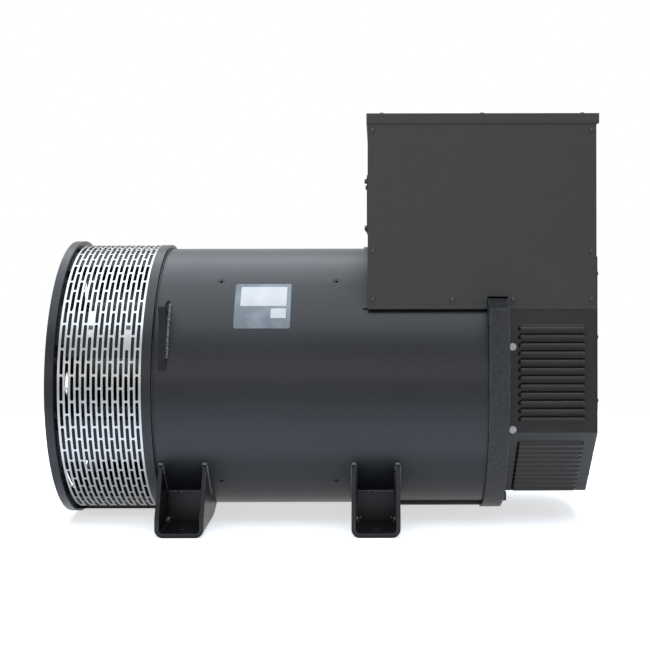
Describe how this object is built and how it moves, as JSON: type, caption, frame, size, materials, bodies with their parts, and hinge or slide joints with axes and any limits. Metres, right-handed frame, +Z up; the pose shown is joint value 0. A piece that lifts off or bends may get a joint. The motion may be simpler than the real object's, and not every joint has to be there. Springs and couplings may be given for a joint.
{
  "type": "generator alternator head",
  "caption": "Single-bearing brushless alternator head with engine flange, perforated air outlet, welded barrel on feet, terminal box and louvred inlet hood.",
  "frame": {"origin": "on the shaft axis in the plane of the engine flange's mating face", "axes": "+X along the shaft from the engine end to the non-drive end, +Z up, -Y towards the side with the rating plate"},
  "size_m": [1.0448, 0.552, 0.7994],
  "materials": {
    "casting_paint": "satin",
    "satin_paint": "satin",
    "box_paint": "satin",
    "screen_steel": "satin",
    "zinc_steel": "satin",
    "black_steel": "satin",
    "lamination": "matte",
    "winding": "gloss",
    "bright_steel": "satin",
    "fan_alloy": "satin",
    "copper": "satin",
    "brass": "satin",
    "foam": "matte",
    "board": "matte",
    "potting": "matte"
  },
  "bodies": {
    "stator": {"adaptor_flange": "casting_paint", "adaptor_webs": "casting_paint", "adaptor_ring": "casting_paint", "air_screen": "screen_steel", "screen_fixings": "black_steel", "barrel": "satin_paint", "belly_plate": "satin_paint", "adaptor_bolts": "zinc_steel", "feet_drive_end": "satin_paint", "feet_rear": "satin_paint", "foot_gussets": "satin_paint", "lifting_lugs": "satin_paint", "core_screws": "black_steel", "stator_core": "lamination", "stator_winding": "winding", "nde_bracket": "casting_paint", "bracket_bolts": "black_steel", "bearing_cap_in": "casting_paint", "bearing_cap_out": "casting_paint", "cap_bolts": "zinc_steel", "bearing_outer": "bright_steel", "exciter_stator": "lamination", "exciter_coils": "winding", "exciter_bolts": "zinc_steel", "box_frame": "box_paint", "box_wall_drive": "box_paint", "box_wall_rear": "box_paint", "box_panel_front": "box_paint", "box_panel_back": "box_paint", "box_lid": "box_paint", "lid_gasket": "foam", "cover_screws": "black_steel", "box_floor": "box_paint", "box_saddle": "foam", "gland_plate": "box_paint", "gland_bolts": "black_steel", "terminal_stand": "box_paint", "terminal_board": "board", "terminal_studs": "brass", "regulator": "potting", "hood_side_front": "box_paint", "hood_side_back": "box_paint", "hood_floor_plate": "box_paint", "hood_rear_cover": "box_paint", "hood_bolts": "zinc_steel"},
    "rotor": {"shaft": "bright_steel", "rotor_core": "lamination", "field_coils": "winding", "damper_rings": "copper", "coupling_hub": "zinc_steel", "drive_discs": "bright_steel", "disc_clamp": "zinc_steel", "coupling_bolts": "black_steel", "fan": "fan_alloy", "fan_bolts": "zinc_steel", "exciter_armature": "lamination", "diode_wheel": "fan_alloy", "bearing_inner": "bright_steel"},
    "cage": {"bearing_balls": "bright_steel", "bearing_cage": "brass"}
  },
  "joints": [
    {"name": "rotor_spin", "type": "hinge", "parent": "stator", "child": "rotor", "pos_m": [0, 0, 0], "axis": [1, 0, 0], "continuous": true},
    {"name": "cage_spin", "type": "hinge", "parent": "stator", "child": "cage", "pos_m": [0.8485, 0, 0], "axis": [1, 0, 0], "continuous": true}
  ],
  "couplings": [
    {"joint": "cage_spin", "follows": "rotor_spin", "ratio": 0.388}
  ]
}
